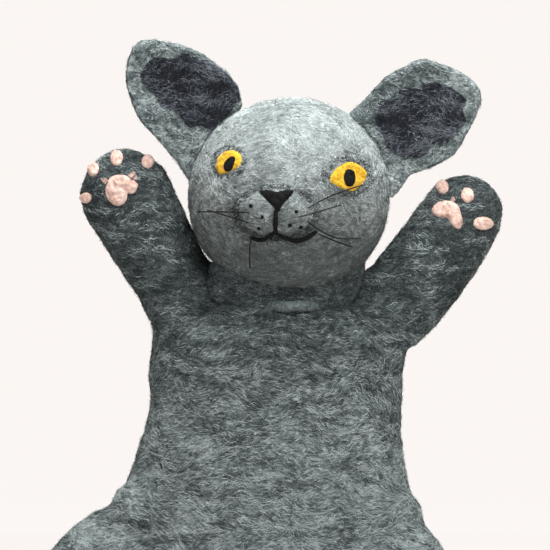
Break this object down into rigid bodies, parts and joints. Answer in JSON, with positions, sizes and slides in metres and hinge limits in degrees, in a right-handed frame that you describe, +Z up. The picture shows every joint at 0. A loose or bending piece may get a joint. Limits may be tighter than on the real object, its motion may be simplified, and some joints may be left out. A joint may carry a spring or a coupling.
{
  "type": "glove puppet",
  "caption": "Felted wool cat glove puppet with raised arms, a round stuffed head that nods and turns, big ears, yellow eyes and an open hem for a hand.",
  "frame": {"origin": "middle of the bounding box, on the surface that the hem rests on", "axes": "+Z up, -Y the way the face looks, +X towards the puppet's own left hand"},
  "size_m": [0.2529, 0.1319, 0.3224],
  "materials": {
    "grey_felt": "wet-felted wool, mottled blue-grey and green-grey, matt, hairy surface",
    "pale_grey_felt": "needle-felted wool, paler grey, matt, hairy surface",
    "dark_grey_felt": "thin layer of dark slate wool worked into the ear",
    "wool_stuffing": "raw carded wool, loosely packed",
    "pink_felt": "pale pink needle-felted wool, matt",
    "yellow_felt": "yellow needle-felted wool with orange flecks",
    "black_wool": "black wool yarn and stitches",
    "black_thread": "stiff waxed black thread"
  },
  "bodies": {
    "skirt": {"skirt_front": "grey_felt", "skirt_back": "grey_felt", "waist_fold": "grey_felt"},
    "chest": {"chest_front": "grey_felt", "chest_back": "grey_felt"},
    "neck": {"neck_tube": "grey_felt", "neck_collar": "grey_felt", "neck_fold": "grey_felt"},
    "head": {"head_shell": "pale_grey_felt", "head_stuffing": "wool_stuffing", "muzzle_pad": "pale_grey_felt", "right_ear": "grey_felt", "right_ear_lining": "dark_grey_felt", "left_ear": "grey_felt", "left_ear_lining": "dark_grey_felt", "right_iris": "yellow_felt", "right_pupil": "black_wool", "left_iris": "yellow_felt", "left_pupil": "black_wool", "nose": "black_wool", "philtrum_line": "black_wool", "right_mouth_line": "black_wool", "left_mouth_line": "black_wool", "right_whisker_dot_1": "black_wool", "right_whisker_dot_2": "black_wool", "right_whisker_dot_3": "black_wool", "left_whisker_dot_1": "black_wool", "left_whisker_dot_2": "black_wool", "left_whisker_dot_3": "black_wool", "right_whisker_1": "black_thread", "right_whisker_2": "black_thread", "chin_whisker": "black_thread", "left_whisker_1": "black_thread", "left_whisker_2": "black_thread", "left_whisker_3": "black_thread", "left_whisker_4": "black_thread"},
    "right_shoulder": {"right_shoulder_fold": "grey_felt"},
    "right_arm": {"right_arm_sleeve": "grey_felt", "right_paw_stuffing": "wool_stuffing", "right_palm_pad": "pink_felt", "right_toe_pad_1": "pink_felt", "right_toe_pad_2": "pink_felt", "right_toe_pad_3": "pink_felt", "right_side_pad": "pink_felt"},
    "left_shoulder": {"left_shoulder_fold": "grey_felt"},
    "left_arm": {"left_arm_sleeve": "grey_felt", "left_paw_stuffing": "wool_stuffing", "left_palm_pad": "pink_felt", "left_toe_pad_1": "pink_felt", "left_toe_pad_2": "pink_felt", "left_toe_pad_3": "pink_felt", "left_side_pad": "pink_felt"},
    "right_leg": {"right_leg_skin": "grey_felt", "right_leg_stuffing": "wool_stuffing"},
    "left_leg": {"left_leg_skin": "grey_felt", "left_leg_stuffing": "wool_stuffing"}
  },
  "joints": [
    {"name": "waist_bow", "type": "hinge", "parent": "skirt", "child": "chest", "pos_m": [0.0025, 0.01, 0.112], "axis": [1, 0, 0], "range_deg": [-10, 20], "deforming": ["waist_fold"]},
    {"name": "head_turn", "type": "hinge", "parent": "chest", "child": "neck", "pos_m": [0.0099, -0.002, 0.19], "axis": [0, 0, 1], "range_deg": [-20, 20]},
    {"name": "head_nod", "type": "hinge", "parent": "neck", "child": "head", "pos_m": [0.0099, -0.002, 0.211], "axis": [1, 0, 0], "range_deg": [-15, 20], "deforming": ["neck_fold"]},
    {"name": "right_arm_lower", "type": "hinge", "parent": "chest", "child": "right_shoulder", "pos_m": [-0.0435, 0.013, 0.167], "axis": [0, -1, 0], "range_deg": [0, 55]},
    {"name": "right_arm_fold", "type": "hinge", "parent": "right_shoulder", "child": "right_arm", "pos_m": [-0.0435, 0.013, 0.167], "axis": [0.8765, 0, 0.4814], "range_deg": [-10, 50]},
    {"name": "left_arm_lower", "type": "hinge", "parent": "chest", "child": "left_shoulder", "pos_m": [0.0535, 0.013, 0.162], "axis": [0, 1, 0], "range_deg": [0, 55]},
    {"name": "left_arm_fold", "type": "hinge", "parent": "left_shoulder", "child": "left_arm", "pos_m": [0.0535, 0.013, 0.162], "axis": [0.7948, 0, -0.6069], "range_deg": [-10, 50]},
    {"name": "right_leg_lift", "type": "hinge", "parent": "skirt", "child": "right_leg", "pos_m": [-0.0715, 0, 0.044], "axis": [-0.1644, 0.9864, 0], "range_deg": [0, 45]},
    {"name": "left_leg_lift", "type": "hinge", "parent": "skirt", "child": "left_leg", "pos_m": [0.0655, -0.004, 0.042], "axis": [-0.824, -0.5665, 0], "range_deg": [0, 45]}
  ]
}
